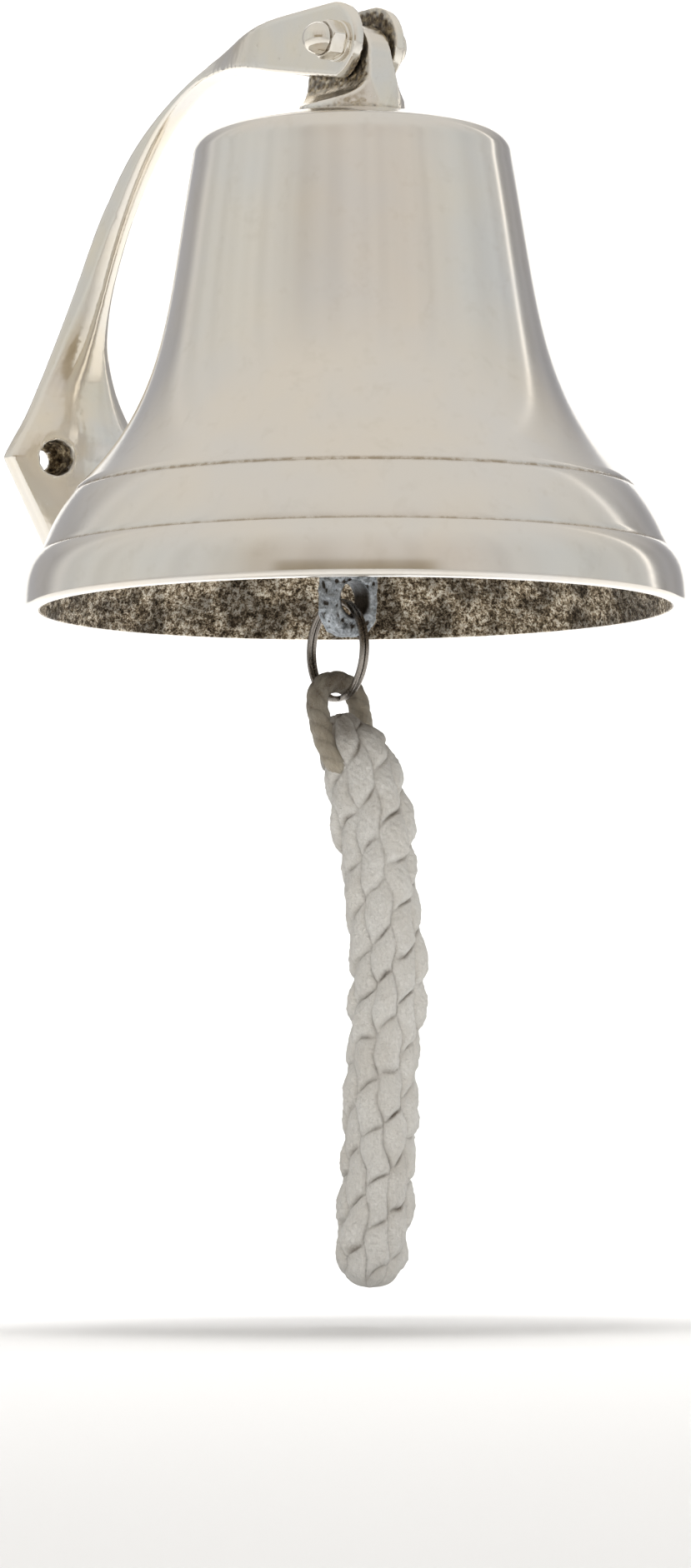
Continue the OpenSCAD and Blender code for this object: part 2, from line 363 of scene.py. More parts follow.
def lobes(a, s, total):
    """Relief of the plait: eight columns of overlapping lobes, each one tucked in at its top."""
    x = s / total
    twist = 0.30 + 0.12 * math.sin(5.0 * x) - 0.95 * smoothstep(0.45, 1.0, x)
    wob = noise.noise(Vector((math.cos(a) * 1.6, math.sin(a) * 1.6, s * 110)))
    wob2 = noise.noise(Vector((math.cos(a) * 1.6 + 7, math.sin(a) * 1.6, s * 110)))
    q0 = s / PITCH
    c = COLUMNS * (a - twist) / (2 * math.pi) + 0.20 * wob + 0.07 * math.sin(2 * math.pi * q0)
    k = math.floor(c)
    f = c - k - 0.5
    kk = int(k) % COLUMNS
    q = q0 + 0.5 * (kk % 2) - 0.34 * f + 0.16 * wob2 + 0.05 * math.sin(kk * 2.4)
    row = math.floor(q)
    g = q - row
    rnd = jitter(kk, row, 0.5)
    lean = 0.10 * (jitter(kk, row, 3.5) - 0.5)
    ff = f + lean * (g - 0.5)
    across = max(0.0, 1 - (abs(2 * ff)) ** 2.2)
    foot = math.sqrt(max(0.0, 1 - smoothstep(0.66, 1.0, g) ** 2)) if g > 0.66 else 1.0
    top = 0.42 + 0.58 * smoothstep(0.0, 0.50, g)
    h = (0.12 + 0.88 * across ** 0.6) * top * (0.18 + 0.82 * foot)
    side = math.exp(-((abs(f) - 0.5) / 0.05) ** 2) * (0.12 + 0.5 * smoothstep(0.55, 0.95, g))
    slot = math.exp(-((1 - g) / 0.07) ** 2) + math.exp(-(g / 0.03) ** 2)
    slot *= 0.30 + 0.70 * smoothstep(0.45, 0.1, abs(f + 0.05))
    seam = min(1.0, max(side, slot))
    return h, seam, rnd, kk, g


def wave(a, s):
    return 0.5 + noise.noise(Vector((math.cos(a) * 2, math.sin(a) * 2, s * 260)))


def braid_relief(a, s, total):
    h, seam, rnd, kk, g = lobes(a, s, total)
    low = (total - s) / (8.5 * MM)
    high = s / (13 * MM)
    end = math.sqrt(max(0.0, 1 - (1 - min(1, low)) ** 2.4)) if low < 1 else 1.0
    if high < 1:
        end *= 0.34 + 0.66 * math.sin(math.pi / 2 * high) ** 0.8
    slim = 1 - 0.07 * smoothstep(0.55, 1.0, s / total) + 0.025 * math.sin(9 * s / total)
    slant = a * BRAID_R * (0.55 if kk % 2 else 0.75) + s * 0.55
    lay = math.sin(slant * 2 * math.pi / (1.25 * MM) + 5 * rnd)
    fuzz = fbm(Vector((math.cos(a) * 11, math.sin(a) * 11, s * 1300)), 3)
    lump = noise.noise(Vector((math.cos(a) * 4 + 3, math.sin(a) * 4, s * 420)))
    r = BRAID_R * slim - 1.25 * MM + 2.35 * MM * h * (0.84 + 0.32 * rnd) - 0.6 * MM * seam
    r += (0.07 * lay * (1 - seam) + 0.17 * fuzz + 0.22 * lump) * MM
    # darker towards the braid's top end
    darkening = (1 - smoothstep(2 * MM, 17 * MM, s)) * (0.30 + 0.5 * max(0.0, wave(a, s)))
    patch = 0.5 + 0.9 * noise.noise(Vector((math.cos(a) * 1.2, math.sin(a) * 1.2, s * 90)))
    # painted shade in the seams between lobes and at each lobe's tucked-in top, in patches, plus the
    # darkening towards the top
    soil_and_crease_shade = 0.95 * seam * min(1.0, max(0.15, patch)) + 0.10 * (1 - smoothstep(0.0, 0.3, g)) + darkening
    return max(0.15 * MM, r * end), min(1.0, soil_and_crease_shade)


def loop_relief(a, s, total):
    turn = 2 * math.pi * s / (13 * MM)
    ply = abs(math.sin(1.5 * (a + turn)))
    fuzz = fbm(Vector((math.cos(a) * 4, math.sin(a) * 4, s * 900)), 2)
    yarn = math.sin(12 * a - 2 * math.pi * s / (3.0 * MM))
    x = s / total
    grime = 0.12 + 0.8 * math.exp(-((x - 0.55) / 0.20) ** 2) * (0.6 + 0.7 * wave(a, s))
    end = math.sqrt(max(0.05, 1 - (1 - min(1.0, s / (3 * MM))) ** 2))
    lump = noise.noise(Vector((math.cos(a) * 2, math.sin(a) * 2, s * 400)))
    r = 2.55 * MM * (0.88 + 0.12 * ply ** 0.6) + (0.03 * yarn + 0.10 * fuzz + 0.14 * lump) * MM
    # grime towards the middle of the eye, plus painted shade in the grooves between the plies
    return r * end, min(1.0, grime + 0.35 * (1 - ply ** 0.5))


braid, braid_path = cord_mesh("lanyard_plait", BRAID, BRAID_R, 216, 0.30 * MM, braid_relief, (1, 0, 0))
loop, loop_path = cord_mesh("lanyard_eye", LOOP, 2.6 * MM, 72, 0.25 * MM, loop_relief, (0, 1, 0))


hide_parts("lanyard_braid")
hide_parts("lanyard_loop")
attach(braid, "lanyard")
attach(loop, "lanyard")


# ---------------------------------------------------------------- bell

# Radius of the lip, and heights above the rim, in millimetres
LIP, SHOULDER, CREST = 76.0, 110.0, 114.0


BELL_STEPS = 460


def bell_profiles():
    """Outside and inside outlines, radius against height above the rim, in millimetres."""
    out = [(LIP - 1.1, 0.02), (LIP - 0.75, 0.05), (LIP - 0.4, 0.22), (LIP - 0.15, 0.5)]
    out += bezier((LIP, 1.0), (LIP, 6.8), (LIP - 1.0, 10.4), (LIP - 3.4, 12.9), 18)
    out += [(LIP - 3.75, 13.1), (LIP - 4.02, 13.22), (LIP - 4.12, 13.4)]
    out += bezier((LIP - 4.15, 13.8), (LIP - 5.8, 18.5), (LIP - 8, 22.6), (LIP - 10.7, 26.3), 14)
    out += [(LIP - 11.0, 26.62), (LIP - 11.35, 26.82), (LIP - 11.6, 27.02), (LIP - 11.65, 27.3)]
    out += bezier((LIP - 11.75, 27.7), (42.9, 47.9), (43.2, 68.5), (36.9, SHOULDER - 5.5), 44)
    out += [(36.9 - 5.5 + 5.5 * math.cos(RAD(a)), SHOULDER - 5.5 + 5.5 * math.sin(RAD(a)))
            for a in range(10, 82, 8)]
    out += bezier((30, SHOULDER + 0.3), (25, SHOULDER + 1.8), (19, CREST), (13, CREST), 10)
    out += [(8, CREST), (2.7, CREST)]
    ins = bezier((LIP - 3.6, 0.06), (LIP - 4, 5), (LIP - 5.5, 10), (LIP - 15.5, 26), 38)
    ins += bezier((LIP - 15.5, 26), (38.9, 46.9), (39.2, 67.5), (32.9, 102), 46, first=False)
    ins += [(29.9 + 3 * math.cos(RAD(a)), 102 + 3 * math.sin(RAD(a))) for a in (25, 45, 65, 85)]
    ins += bezier((29, SHOULDER - 4.8), (24, SHOULDER - 3.2), (19, CREST - 5), (13, CREST - 5), 10)
    ins += [(7, CREST - 5), (2.7, CREST - 5)]
    return out, ins


def build_bell():
    out, ins = bell_profiles()
    lip = [(LIP - 3.2, 0.0), (LIP - 2.3, 0.0), (LIP - 1.6, 0.0)]
    prof = [(r * MM, h * MM) for r, h in lip + out + ins[::-1]]
    n_lip, n_out = len(lip), len(out)
    groove = 26.75 * MM
    inner_from = n_lip + n_out

    def shift(i, a, r, h):
        p = Vector((r * math.cos(a), r * math.sin(a), h)) * 1000
        if i < n_lip:
            return 0.0, 0.02 * MM * noise.noise(p * 0.5)
        if i < inner_from:
            d = 0.035 * fbm(p * 0.035, 2)
            g = math.exp(-((h - groove) / (0.75 * MM)) ** 2)
            d -= g * 0.14 * max(0.0, noise.noise(p * 1.15) + 0.15)
            step = math.exp(-((h - 13.25 * MM) / (0.35 * MM)) ** 2)
            d -= step * 0.05 * max(0.0, noise.noise(p * 0.9))
            return d * MM, 0.0
        fade = smoothstep(0.0, 2.5 * MM, h)
        q = p * 0.62
        rough = noise.noise(q) * 0.34 + noise.noise(q * 2.3) * 0.24 + 0.12 * noise.noise(q * 4.6)
        big = fbm(p * 0.09, 2) * 0.35
        if i >= len(prof) - 6:
            fade = 0.2
        return (rough + big) * MM * fade * (0.9 if r > 30 * MM else 0.6), 0.0

    o = revolve("bell_body", prof, BELL_STEPS, (0, AXIS_Y, RIM_Z), shift=shift)
    me = o.data
    n = len(prof)
    idx = [1 if i >= inner_from else 0 for _ in range(BELL_STEPS) for i in range(n)]
    me.materials.append(None)
    me.materials.append(None)
    me.polygons.foreach_set("material_index", idx[:len(me.polygons)])
    face_out(o)
    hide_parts("bell_shell")
    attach(o, "bell")
    return o


bell = build_bell()


# ---------------------------------------------------------------- bracket

BOLT = Vector((0, -0.1175, 0.085))
EAR_Y, EAR_Z, EAR_R = -114.5, 85.6, 9.2


def resample(points, n):
    d = [0.0]
    for a, b in zip(points, points[1:]):
        d.append(d[-1] + math.dist(a, b))
    out = []
    for i in range(n + 1):
        s = d[-1] * i / n
        j = min(max(bisect.bisect_right(d, s) - 1, 0), len(d) - 2)
        t = (s - d[j]) / max(d[j + 1] - d[j], 1e-9)
        out.append(tuple(points[j][k] + t * (points[j + 1][k] - points[j][k]) for k in range(2)))
    return out


def lookup(table, x):
    """Piecewise-linear table of (x, value)."""
    if x <= table[0][0]:
        return table[0][1]
    for (x0, v0), (x1, v1) in zip(table, table[1:]):
        if x <= x1:
            return v0 + (v1 - v0) * (x - x0) / (x1 - x0)
    return table[-1][1]


def bracket_half_width(y, z):
    plate = [(-37, 0.35), (-1.2, 20.4), (0, 21), (1.4, 20.4)]
    plate += [(p[1], p[0]) for p in bezier((17.5, 6), (10.5, 15.5), (4.6, 30), (3.5, 46), 12)]
    plate += [(60, 2.9)]
    fork = [(-130, 7.5), (-90, 7.5)]
    fork += [(p[1], p[0]) for p in bezier((2.9, -58), (2.9, -70), (7.5, -76), (7.5, -90), 12)[::-1]]
    fork += [(-55, 2.9)]
    return max(lookup(plate, z), 0.0) if z < 58 else lookup(fork, y)


HOLE_X = 0.01            # each screw hole's distance from the middle
IN_SLOT = 4.9 * MM       # a little over half the fork's slot


def from_screw_hole(p):
    return min(math.hypot(p.x - HOLE_X, p.z), math.hypot(p.x + HOLE_X, p.z))


def cored_hole(x):
    """Tool for a screw hole that was cast, a little narrower towards the wall."""
    line = [(0, -6), (2.4, -6), (2.5, 0.4), (4.2, 3.6), (4.3, 20), (0, 20)]
    o = revolve("tool", [(max(r, 0.001) * MM, h * MM) for r, h in line], 48, (0, 0, 0))
    for v in o.data.vertices:
        v.co = Vector((v.co.x + x, -v.co.z, v.co.y))
    return o


def build_bracket():
    stations = []
    low = [-37, -35.5, -33, -30, -26, -22, -18, -14, -10, -7, -4, -2, -0.8, 0, 0.8, 2, 4, 6]
    for z in low:
        stations.append(((0, z), (-4.5 if z < 0 else -4.5 - z / 6, z), "plate"))
    back = [(0, 6), (0, 15)] + bezier((0, 15), (0, 33), (-12.6, 59), (-29.5, 73.2), 24)
    back += bezier((-29.5, 73.2), (-45, 86), (-72, 94.8), (-97, 94.8), 30, first=False)
    split = min(range(len(back)), key=lambda i: abs(back[i][0] + 66))
    front = bezier((-5.5, 6), (-10, 44), (-37, 84), (-60, 86), 40)
    for b, f in list(zip(resample(back[:split + 1], 46), resample(front, 46)))[1:]:
        stations.append((b, f, "arm"))
    back2 = back[split:] + [(EAR_Y, EAR_Z + EAR_R)]
    front2 = bezier((-60, 86), (-68, 86.6), (-78, 86), (-90, 82.4), 10)
    front2 += [(-103, 79.6), (EAR_Y - 2.4, EAR_Z - 8.9)]
    for b, f in list(zip(resample(back2, 22), resample(front2, 22)))[1:]:
        stations.append((b, f, "fork"))
    for i in range(1, 11):
        t = i / 10
        a1, a2 = RAD(90 + 88 * t), RAD(255 - 73 * t)
        stations.append(((EAR_Y + EAR_R * math.cos(a1), EAR_Z + EAR_R * math.sin(a1)),
                         (EAR_Y + EAR_R * math.cos(a2), EAR_Z + EAR_R * math.sin(a2)), "nose"))
    m = 14
    verts, rings = [], []
    for b, f, kind in stations:
        y, z = (b[0] + f[0]) / 2, (b[1] + f[1]) / 2
        w = bracket_half_width(y, z)
        b3, f3 = Vector((0, b[0], b[1])), Vector((0, f[0], f[1]))
        thick = (f3 - b3).length
        n = (f3 - b3).normalized()
        # how far the middle stands out past the front line, and how far the edges fall back from it
        proud = fall = 0
        if kind in ("plate", "arm"):
            proud = 4.8 * smoothstep(-36, -12, z) * (1 - smoothstep(4, 22, z))
        if kind == "arm":
            fall = lookup([(0, 0), (8, 1.6), (18, 3.6), (30, 4.4), (48, 3.0), (62, 2.0)], z)
        if kind == "arm" and z > 62:
            fall = 2.0 * (1 - smoothstep(78, 87, z))
        if kind == "plate" and z > 0:
            fall = 0.2 * z
        fall = min(fall, thick * 0.55)
        ring = []
        edge = 0.7 if w > 1.5 else 0.2
        for k in range(m + 1):                       # front, left to right
            x = -1 + 2 * k / m
            s = abs(x)
            out = proud * (1 - s ** 2.0) - fall * s ** 2.6
            ring.append(Vector((x * w, 0, 0)) + f3 + n * out)
        ring.append(Vector((w, 0, 0)) + b3 + n * edge)
        ring.append(Vector((w - min(edge, w * 0.4), 0, 0)) + b3)
        ring.append(Vector((0, 0, 0)) + b3)
        ring.append(Vector((-w + min(edge, w * 0.4), 0, 0)) + b3)
        ring.append(Vector((-w, 0, 0)) + b3 + n * edge)
        rings.append(len(verts))
        verts += [v * MM for v in ring]
    c = m + 6
    faces = []
    for i in range(len(stations) - 1):
        a, b = rings[i], rings[i + 1]
        faces += [(a + k, b + k, b + (k + 1) % c, a + (k + 1) % c) for k in range(c)]
    faces.append(tuple(range(c)))
    faces.append(tuple(rings[-1] + k for k in range(c - 1, -1, -1)))
    o = make_object("bracket_casting", verts, faces)
    face_out(o, triangles=True)
    sl = 4.5 * MM
    cut(o, block(-sl, sl, -0.14, BOLT.y + 0.0195, 0.06, 0.12))
    cut(o, cylinder((-0.02, BOLT.y, BOLT.z), (0.02, BOLT.y, BOLT.z), 2.62 * MM))
    for side in (-1, 1):
        cut(o, cored_hole(side * HOLE_X))
    remesh(o, 0.42 * MM, 5)

    # sand-cast skin: strong in the slot and the screw holes, faint on the worked faces
    def skin(p, n):
        rough = 0.05
        if abs(p.x) < IN_SLOT and p.y < BOLT.y + 0.021 and p.z > 0.07:
            rough = 1.0
        hole = from_screw_hole(p)
        if hole < 5.0 * MM:
            rough = 1.3
        if n.y > 0.6 and p.y > -0.004:
            rough = 0.0
        q = p * 1000
        bump = noise.noise(q * 0.75) * 0.16 + noise.noise(q * 1.7) * 0.09
        pit = max(0.0, noise.noise(q * 0.42 + Vector((5, 0, 0))) - 0.42) * 0.5
        return p + n * MM * (bump * rough - pit * 0.35 + 0.045 * fbm(q * 0.07, 2))

    def bare(p, n):
        slot = 1.0 if abs(p.x) < IN_SLOT and p.y < BOLT.y + 0.021 and p.z > 0.07 else 0.0
        hole = from_screw_hole(p)
        bore = 1 - smoothstep(4.35 * MM, 4.75 * MM, hole)
        return max(slot * 0.9, bore)

    sculpt(o, skin)
    cast_attr(o, bare)
    shade_and_wear_attr(o, 3, 1.6)
    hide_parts("wall_bracket")
    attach(o, "bracket")
    return o


bracket = build_bracket()


# ---------------------------------------------------------------- turned and cast small parts

def refined(node, name, voxel, rounds, body, shape=None, gain=1.6, bare=lambda p, n: 0.0):
    o = remesh(copy_of(node, name), voxel, rounds)
    if shape:
        sculpt(o, shape)
    cast_attr(o, bare)
    shade_and_wear_attr(o, 3, gain)
    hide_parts(node)
    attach(o, body)
    return o


def cast_skin(scale, depth):
    def shape(p, n):
        q = p * 1000
        d = noise.noise(q * scale) * 0.6 + noise.noise(q * scale * 2.3) * 0.3
        return p + n * depth * MM * d
    return shape


def lug_skin(p, n):
    q = p * 1000
    side = smoothstep(0.6, 0.95, abs(n.x)) * smoothstep(0.072, 0.076, p.z)
    low = 1 - smoothstep(0.0700, 0.0725, p.z)
    d = (noise.noise(q * 0.9) * 0.16 + noise.noise(q * 2.0) * 0.08) * max(side, 0.6 * low)
    return p + n * MM * (d + 0.03 * fbm(q * 0.12, 2))


def lug_skin_and_shade(p, n):
    # dark casting skin on the sides in the slot and at the foot, which also paints the shade in the slot
    # and at the joint with the bell
    side = smoothstep(0.55, 0.9, abs(n.x)) * smoothstep(0.0735, 0.0765, p.z)
    foot = (1 - smoothstep(0.0690, 0.0702, p.z))
    return max(side * 0.8, foot)


lug = refined("crown_lug", "crown_lug_casting", 0.32 * MM, 5, "bell", lug_skin,
              bare=lug_skin_and_shade)


TAIL_HOLE = 2.4 * MM     # height of the tail's hole above the rim
TAIL_TOP = -0.030        # the hole lies below this height


def from_tail_hole(p):
    """Distance from the axis of the hole in the clapper's tail, in millimetres."""
    return math.hypot(p.x, p.z - RIM_Z - TAIL_HOLE) * 1000


def tail_skin(p, n):
    q = p * 1000
    near = smoothstep(3.9, 5.5, from_tail_hole(p))
    d = noise.noise(q * 0.55) * 0.30 + noise.noise(q * 1.4) * 0.17 + noise.noise(q * 3.1) * 0.07
    if near < 0.2 and p.z < TAIL_TOP:
        # the cored hole is taller than it is wide
        up = 0.6 * MM if p.z > RIM_Z + TAIL_HOLE else -0.1 * MM
        return p + Vector((0, 0, up)) + n * MM * d * 0.25
    return p + n * MM * d * (0.35 + 0.65 * near)


# how much painted shade darkens the inside of the tail's hole
def tail_hole_shade(p, n):
    return (1 - smoothstep(3.9, 4.9, from_tail_hole(p))) if p.z < TAIL_TOP else 0.0


striker = refined("clapper", "clapper_casting", 0.34 * MM, 4, "clapper", tail_skin,
                  bare=tail_hole_shade)
link = refined("clapper_link", "clapper_link_wire", 0.22 * MM, 2, "link",
               cast_skin(0.8, 0.04))
stud = refined("clapper_stud", "clapper_stud_eye", 0.26 * MM, 2, "bell",
               cast_skin(0.8, 0.03))
washer = refined("crown_washer", "crown_washer_disc", 0.25 * MM, 2, "bell")
inner_nut = refined("crown_nut", "crown_nut_hex", 0.22 * MM, 2, "bell")
pin = refined("pivot_bolt", "pivot_bolt_head", 0.17 * MM, 2, "bracket",
              cast_skin(0.5, 0.02))
pin_washer = refined("pivot_washer", "pivot_washer_disc", 0.16 * MM, 1, "bracket")


def build_acorn_nut():
    """Chamfered hexagon under a domed cap, on the -X side of the fork."""
    lo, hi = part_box("acorn_nut")
    base, tip = hi[0], lo[0]
    h = base - tip
    af = 8.0 * MM
    steps = 144
    hexa = 4.0 * MM
    prof = [i / 59 * h for i in range(60)]
    verts = []
    for t in prof:
        for k in range(steps):
            a = 2 * math.pi * k / steps
            b = (a + math.pi / 6) % (math.pi / 3) - math.pi / 6
            flat = (af / 2) / math.cos(b)
            cone_low = 4.05 * MM + t * 1.5                      # chamfer at the foot
            cone_top = 3.75 * MM + max(0.0, hexa - t) * 1.6     # chamfer under the dome
            if t <= hexa:
                r = min(flat, cone_low, cone_top)
            else:
                c = h - 3.72 * MM
                neck = 3.55 * MM + 0.2 * MM * smoothstep(hexa, hexa + 0.5 * MM, t)
                r = neck if t < c else math.sqrt(max(0.0, (3.72 * MM) ** 2 - (t - c) ** 2))
            r = max(r, 0.05 * MM)
            wob = 1 + 0.006 * noise.noise(Vector((math.cos(a) * 2, math.sin(a) * 2, t * 500)))
            verts.append(Vector((base - t, BOLT.y + r * wob * math.cos(a + 0.35),
                                 BOLT.z + r * wob * math.sin(a + 0.35))))
    n = len(prof)
    faces = [(i * steps + k, i * steps + (k + 1) % steps,
              (i + 1) * steps + (k + 1) % steps, (i + 1) * steps + k)
             for i in range(n - 1) for k in range(steps)]
    faces.append(tuple(range(steps - 1, -1, -1)))
    faces.append(tuple((n - 1) * steps + k for k in range(steps)))
    o = make_object("acorn_nut_cap", verts, faces)
    face_out(o)
    cast_attr(o, lambda p, n: 0.0)
    shade_and_wear_attr(o, 2, 1.6)
    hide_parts("acorn_nut")
    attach(o, "bracket")
    return o


nut = build_acorn_nut()


# ---------------------------------------------------------------- split ring: two turns of flat wire

def build_ring():
    lean, turn = RAD(2.0), RAD(-5.0)
    ring_z = -54.373
    move, rotate = Matrix.Translation, Matrix.Rotation
    hang = move((0, AXIS_Y, 0.041)) @ rotate(lean, 4, "X") @ move((0, -AXIS_Y, -0.041))
    place = hang @ move((0, AXIS_Y, ring_z * MM)) @ rotate(turn, 4, "Z") @ move((0, 0.004, 0))
    mid, turns = 11.28 * MM, 2.0
    n, m = 420, 14
    verts = []
    for i in range(n + 1):
        t = i / n
        a = 2 * math.pi * turns * t + RAD(262)
        # the two turns lie side by side and cross over near the ends
        x = (-0.58 + 1.16 * smoothstep(0.42, 0.58, t)) * MM
        c = Vector((x, mid * math.cos(a), mid * math.sin(a)))
        rad = Vector((0, math.cos(a), math.sin(a)))
        taper = min(1.0, 0.75 + 0.25 * min(t, 1 - t) / 0.01)
        for k in range(m):
            b = 2 * math.pi * k / m
            sx = abs(math.cos(b)) ** 0.75 * (1 if math.cos(b) > 0 else -1) * 0.52 * MM
            sr = abs(math.sin(b)) ** 0.75 * (1 if math.sin(b) > 0 else -1) * 0.68 * MM
            verts.append(place @ (c + Vector((sx * taper, 0, 0)) + rad * sr * taper))
    faces = [(i * m + k, (i + 1) * m + k, (i + 1) * m + (k + 1) % m, i * m + (k + 1) % m)
             for i in range(n) for k in range(m)]
    faces += [tuple(range(m - 1, -1, -1)), tuple(n * m + k for k in range(m))]
    o = make_object("split_ring_coil", verts, faces)
    face_out(o)
    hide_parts("split_ring")
    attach(o, "ring")
    return o


ring = build_ring()


# ---------------------------------------------------------------- materials

class Mat:
    """A small builder for node materials. Object coordinates are turned to millimetres."""

    def __init__(self, name):
        self.m = bpy.data.materials.new(name)
        self.m.use_nodes = True
        self.nt = self.m.node_tree
        self.b = self.nt.nodes["Principled BSDF"]
        tc = self.node("ShaderNodeTexCoord")
        mm = self.node("ShaderNodeVectorMath", operation="SCALE")
        mm.inputs["Scale"].default_value = 1000
        self.nt.links.new(tc.outputs["Object"], mm.inputs[0])
        self.pos = mm.outputs[0]

    def node(self, kind, **props):
        n = self.nt.nodes.new(kind)
        for k, v in props.items():
            setattr(n, k, v)
        return n

    def put(self, value, socket):
        if isinstance(value, bpy.types.NodeSocket):
            self.nt.links.new(value, socket)
        elif isinstance(value, (tuple, list)):
            socket.default_value = tuple(value) + (1.0,) * (len(socket.default_value) - len(value))
        else:
            socket.default_value = value

    def math(self, op, a, b=0.0, c=0.0, clamp=False):
        n = self.node("ShaderNodeMath", operation=op, use_clamp=clamp)
        for v, s in zip((a, b, c), n.inputs):
            self.put(v, s)
        return n.outputs[0]

    def stretch(self, vec, x, y, z):
        n = self.node("ShaderNodeVectorMath", operation="MULTIPLY")
        self.put(vec, n.inputs[0])
        n.inputs[1].default_value = (x, y, z)
        return n.outputs[0]

    def noise(self, scale, detail=2.0, rough=0.5, vec=None, distort=0.0):
        n = self.node("ShaderNodeTexNoise")
        self.put(vec if vec is not None else self.pos, n.inputs["Vector"])
        n.inputs["Scale"].default_value = scale
        n.inputs["Detail"].default_value = detail
        n.inputs["Roughness"].default_value = rough
        n.inputs["Distortion"].default_value = distort
        return n.outputs["Fac"]

    def cells(self, scale, vec=None):
        n = self.node("ShaderNodeTexVoronoi")
        self.put(vec if vec is not None else self.pos, n.inputs["Vector"])
        n.inputs["Scale"].default_value = scale
        return n.outputs["Distance"]

    def ramp(self, fac, *stops):
        n = self.node("ShaderNodeValToRGB")
        self.put(fac, n.inputs[0])
        e = n.color_ramp.elements
        while len(e) < len(stops):
            e.new(0.5)
        for el, (p, c) in zip(e, stops):
            el.position = p
            c = (c, c, c) if isinstance(c, (int, float)) else c
            el.color = tuple(c) + (1.0,)
        return n.outputs[0]

    def mix(self, fac, a, b, blend="MIX"):
        n = self.node("ShaderNodeMix", data_type="RGBA", blend_type=blend)
        n.clamp_factor = True
        for v, s in ((fac, n.inputs[0]), (a, n.inputs[6]), (b, n.inputs[7])):
            self.put(v, s)
        return n.outputs[2]

    def attr(self, name):
        n = self.node("ShaderNodeAttribute", attribute_name=name)
        return n.outputs["Fac"]

    def bump(self, height, strength, distance, normal=None):
        n = self.node("ShaderNodeBump")
        n.inputs["Strength"].default_value = strength
        n.inputs["Distance"].default_value = distance
        self.put(height, n.inputs["Height"])
        if normal is not None:
            self.put(normal, n.inputs["Normal"])
        return n.outputs[0]

    def done(self, color, rough, normal=None, metallic=0.0, **fixed):
        self.put(color, self.b.inputs["Base Color"])
        self.put(rough, self.b.inputs["Roughness"])
        self.put(metallic, self.b.inputs["Metallic"])
        if normal is not None:
            self.put(normal, self.b.inputs["Normal"])
        for k, v in fixed.items():
            self.put(v, self.b.inputs[k.replace("_", " ")])
        return self.m


NICKEL = (0.82, 0.765, 0.68)
NICKEL_COOL = (0.78, 0.755, 0.715)
TARNISH = (0.30, 0.22, 0.12)


def bell_outside():
    k = Mat("bell_nickel_satin")
    sep = k.node("ShaderNodeSeparateXYZ")
    k.put(k.pos, sep.inputs[0])
    z = sep.outputs["Z"]
    cloud = k.noise(0.03, 3, 0.55)
    spots = k.noise(0.22, 3, 0.6)
    polish = k.noise(1.0, 3, 0.6, k.stretch(k.pos, 0.03, 0.03, 3.2))
    drag = k.noise(1.0, 2, 0.5, k.stretch(k.pos, 0.16, 0.16, 0.012))
    color = k.mix(k.ramp(cloud, (0.35, 0.0), (0.65, 1.0)), NICKEL, NICKEL_COOL)
    spotted = k.math("MULTIPLY", k.ramp(spots, (0.55, 0.0), (0.8, 1.0)), 0.22)
    color = k.mix(spotted, color, (0.62, 0.56, 0.47))
    groove = None
    for h, w, amount in ((27.0, 0.42, 0.75), (13.25, 0.30, 0.6)):
        d = k.math("DIVIDE", k.math("SUBTRACT", z, RIM_Z * 1000 + h), w)
        fade = k.math("POWER", 2.718, k.math("MULTIPLY", k.math("MULTIPLY", d, d), -1.0))
        g = k.math("MULTIPLY", fade, amount)
        groove = g if groove is None else k.math("MAXIMUM", groove, g)
    speck = k.ramp(k.noise(0.5, 3, 0.6), (0.38, 0.35), (0.58, 1.0))
    mask = k.math("MULTIPLY", groove, speck, clamp=True)
    color = k.mix(mask, color, TARNISH)
    sheen = k.math("ADD", k.math("MULTIPLY", cloud, 0.5), k.math("MULTIPLY", drag, 0.5))
    rough = k.math("ADD", k.ramp(sheen, (0.3, 0.09), (0.7, 0.15)), k.math("MULTIPLY", mask, 0.3))
    rough = k.math("ADD", rough, k.math("MULTIPLY", polish, 0.05))
    nrm = k.bump(polish, 0.08, 0.00002)
    nrm = k.bump(k.noise(0.05, 2, 0.5), 0.12, 0.0002, nrm)
    pits = k.ramp(k.cells(0.16), (0.0, 0.0), (0.035, 1.0))
    nrm = k.bump(pits, 0.35, 0.0001, nrm)
    return k.done(color, rough, nrm, 1.0)


def bell_inside():
    k = Mat("bell_rough_casting")
    a = k.noise(0.75, 4, 0.7)
    b = k.noise(2.2, 3, 0.7)
    c = k.noise(0.12, 2, 0.5)
    mixv = k.math("ADD", k.math("MULTIPLY", a, 0.6), k.math("MULTIPLY", b, 0.4))
    color = k.ramp(mixv, (0.38, (0.03, 0.022, 0.014)), (0.46, (0.16, 0.12, 0.078)),
                   (0.515, (0.52, 0.42, 0.29)), (0.57, (1.0, 0.93, 0.80)))
    color = k.mix(k.ramp(c, (0.42, 0.0), (0.60, 0.75)), color, (0.20, 0.20, 0.21), "MULTIPLY")
    rough = k.ramp(b, (0.3, 0.16), (0.7, 0.42))
    nrm = k.bump(a, 0.9, 0.0009)
    nrm = k.bump(b, 0.8, 0.0004, nrm)
    return k.done(color, rough, nrm, 1.0)


